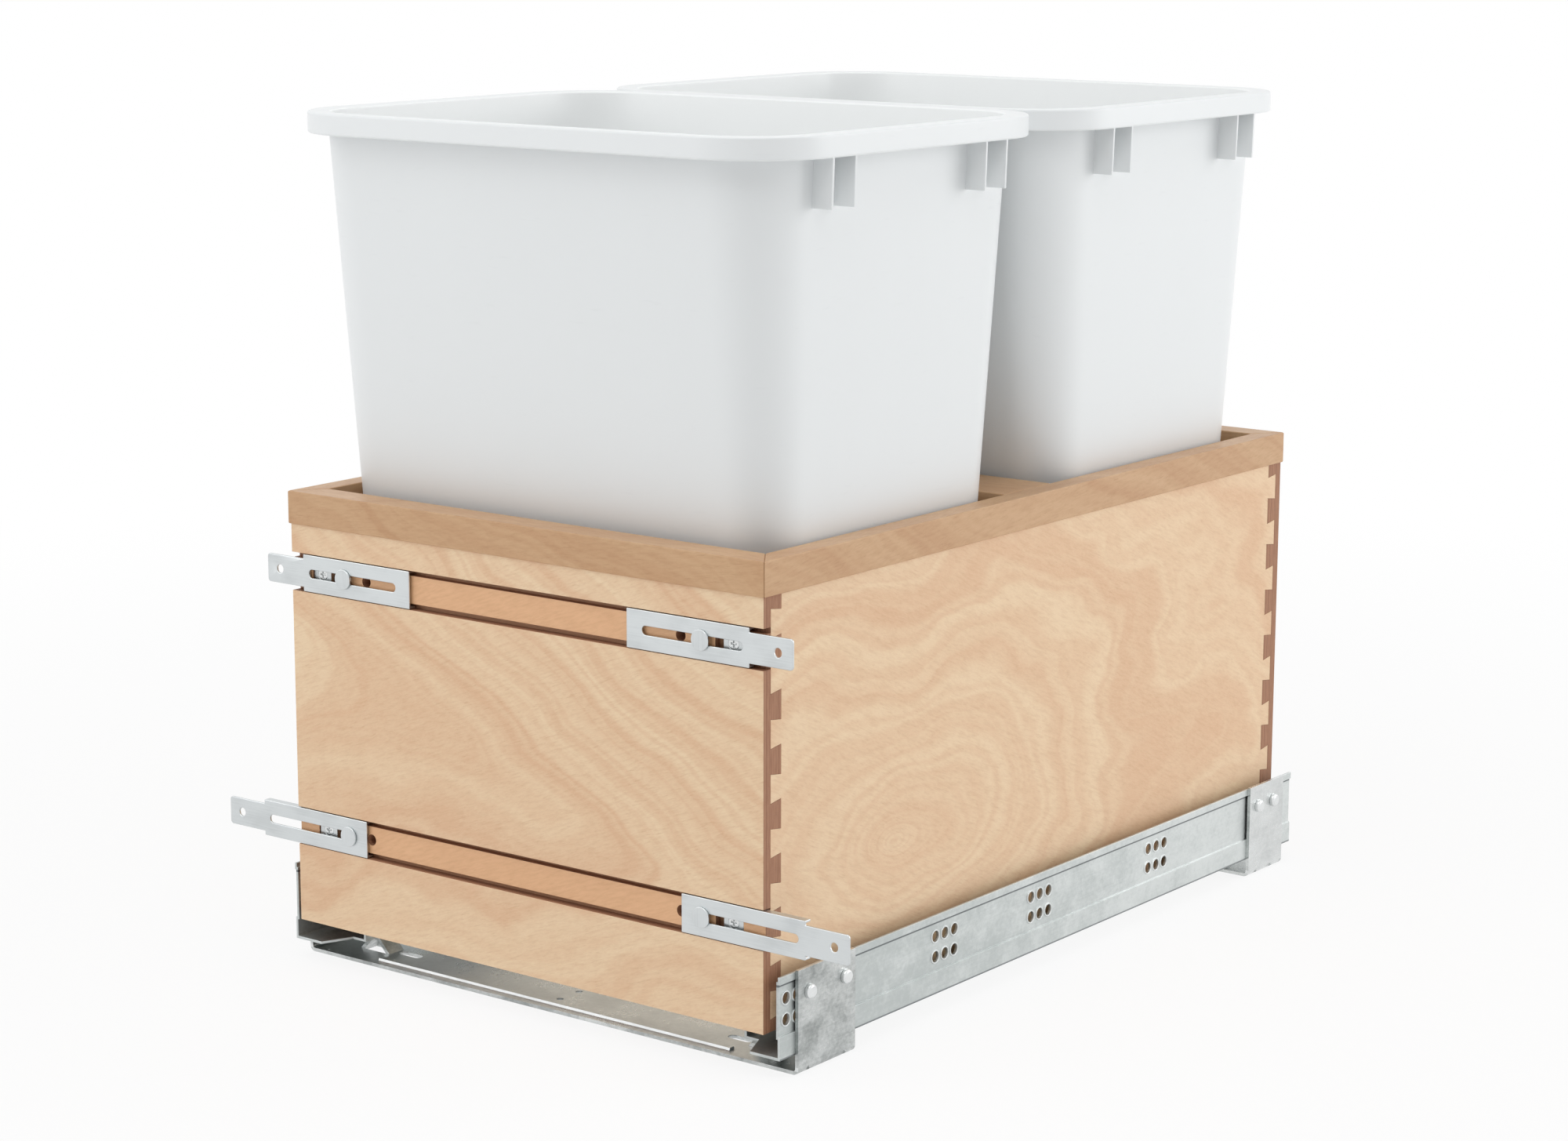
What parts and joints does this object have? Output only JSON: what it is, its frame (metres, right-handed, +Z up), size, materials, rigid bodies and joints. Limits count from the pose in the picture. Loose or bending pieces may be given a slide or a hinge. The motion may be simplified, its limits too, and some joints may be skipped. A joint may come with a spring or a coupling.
{
  "type": "pull out bin frame",
  "caption": "Pull-out bin frame: dovetailed wooden box on full-extension undermount slides, holding tapered lift-out bins, with adjustable door brackets on the front.",
  "frame": {"origin": "on the cabinet floor, under the middle of the object's bounding box", "axes": "+X to the right seen from the front, +Y towards the back of the cabinet, +Z up; the drawer pulls out towards -Y"},
  "size_m": [0.4518, 0.547, 0.4928],
  "materials": {
    "galvanised_steel": "satin galvanised sheet with faint spangle",
    "slide_steel": "smooth zinc-plated sheet",
    "bright_steel": "bright plated steel",
    "cage_plastic": "matt dark nylon",
    "zinc_plate": "pale satin zinc plate",
    "maple_ply": "clear satin lacquer on figured pale plywood",
    "maple_rim": "clear satin lacquer on solid pale wood",
    "white_plastic": "smooth white moulded plastic"
  },
  "bodies": {
    "frame": {"front_strap": "galvanised_steel", "rear_strap": "galvanised_steel", "left_cabinet_rail": "galvanised_steel", "right_cabinet_rail": "galvanised_steel", "frame_rivets": "bright_steel"},
    "drawer": {"front_panel": "maple_ply", "back_panel": "maple_ply", "left_side_panel": "maple_ply", "right_side_panel": "maple_ply", "floor_panel": "maple_ply", "rim_front": "maple_rim", "rim_back": "maple_rim", "rim_left": "maple_rim", "rim_right": "maple_rim", "rim_divider": "maple_rim", "bracket_back_plates": "zinc_plate", "bracket_guide_rivets": "bright_steel", "bracket_screws": "bright_steel", "left_drawer_rail": "slide_steel", "right_drawer_rail": "slide_steel", "slide_screws": "bright_steel"},
    "left_intermediate": {"left_intermediate_rail": "slide_steel"},
    "left_lower_carriage": {"left_lower_cage": "cage_plastic", "left_lower_balls": "bright_steel"},
    "left_upper_carriage": {"left_upper_cage": "cage_plastic", "left_upper_balls": "bright_steel"},
    "right_intermediate": {"right_intermediate_rail": "slide_steel"},
    "right_lower_carriage": {"right_lower_cage": "cage_plastic", "right_lower_balls": "bright_steel"},
    "right_upper_carriage": {"right_upper_cage": "cage_plastic", "right_upper_balls": "bright_steel"},
    "upper_left_bracket": {"upper_left_bracket": "zinc_plate"},
    "upper_right_bracket": {"upper_right_bracket": "zinc_plate"},
    "lower_left_bracket": {"lower_left_bracket": "zinc_plate"},
    "lower_right_bracket": {"lower_right_bracket": "zinc_plate"},
    "front_bin": {"front_bin": "white_plastic"},
    "rear_bin": {"rear_bin": "white_plastic"}
  },
  "joints": [
    {"name": "drawer_slide", "type": "slide", "parent": "frame", "child": "drawer", "axis": [0, -1, 0], "range_m": [0, 0.52]},
    {"name": "left_intermediate_slide", "type": "slide", "parent": "frame", "child": "left_intermediate", "axis": [0, -1, 0], "range_m": [0, 0.26]},
    {"name": "left_lower_carriage_slide", "type": "slide", "parent": "frame", "child": "left_lower_carriage", "axis": [0, -1, 0], "range_m": [0, 0.13]},
    {"name": "left_upper_carriage_slide", "type": "slide", "parent": "frame", "child": "left_upper_carriage", "axis": [0, -1, 0], "range_m": [0, 0.39]},
    {"name": "right_intermediate_slide", "type": "slide", "parent": "frame", "child": "right_intermediate", "axis": [0, -1, 0], "range_m": [0, 0.26]},
    {"name": "right_lower_carriage_slide", "type": "slide", "parent": "frame", "child": "right_lower_carriage", "axis": [0, -1, 0], "range_m": [0, 0.13]},
    {"name": "right_upper_carriage_slide", "type": "slide", "parent": "frame", "child": "right_upper_carriage", "axis": [0, -1, 0], "range_m": [0, 0.39]},
    {"name": "upper_left_bracket_slide", "type": "slide", "parent": "drawer", "child": "upper_left_bracket", "axis": [-1, 0, 0], "range_m": [-0.0245, 0.037]},
    {"name": "upper_right_bracket_slide", "type": "slide", "parent": "drawer", "child": "upper_right_bracket", "axis": [1, 0, 0], "range_m": [-0.0245, 0.037]},
    {"name": "lower_left_bracket_slide", "type": "slide", "parent": "drawer", "child": "lower_left_bracket", "axis": [-1, 0, 0], "range_m": [-0.061, 0.0005]},
    {"name": "lower_right_bracket_slide", "type": "slide", "parent": "drawer", "child": "lower_right_bracket", "axis": [1, 0, 0], "range_m": [-0.061, 0.0005]},
    {"name": "front_bin_lift", "type": "slide", "parent": "drawer", "child": "front_bin", "axis": [0, 0, 1], "range_m": [0, 0.25]},
    {"name": "rear_bin_lift", "type": "slide", "parent": "drawer", "child": "rear_bin", "axis": [0, 0, 1], "range_m": [0, 0.25]}
  ],
  "couplings": [
    {"joint": "left_intermediate_slide", "follows": "drawer_slide", "ratio": 0.5},
    {"joint": "left_lower_carriage_slide", "follows": "drawer_slide", "ratio": 0.25},
    {"joint": "left_upper_carriage_slide", "follows": "drawer_slide", "ratio": 0.75},
    {"joint": "right_intermediate_slide", "follows": "drawer_slide", "ratio": 0.5},
    {"joint": "right_lower_carriage_slide", "follows": "drawer_slide", "ratio": 0.25},
    {"joint": "right_upper_carriage_slide", "follows": "drawer_slide", "ratio": 0.75}
  ]
}
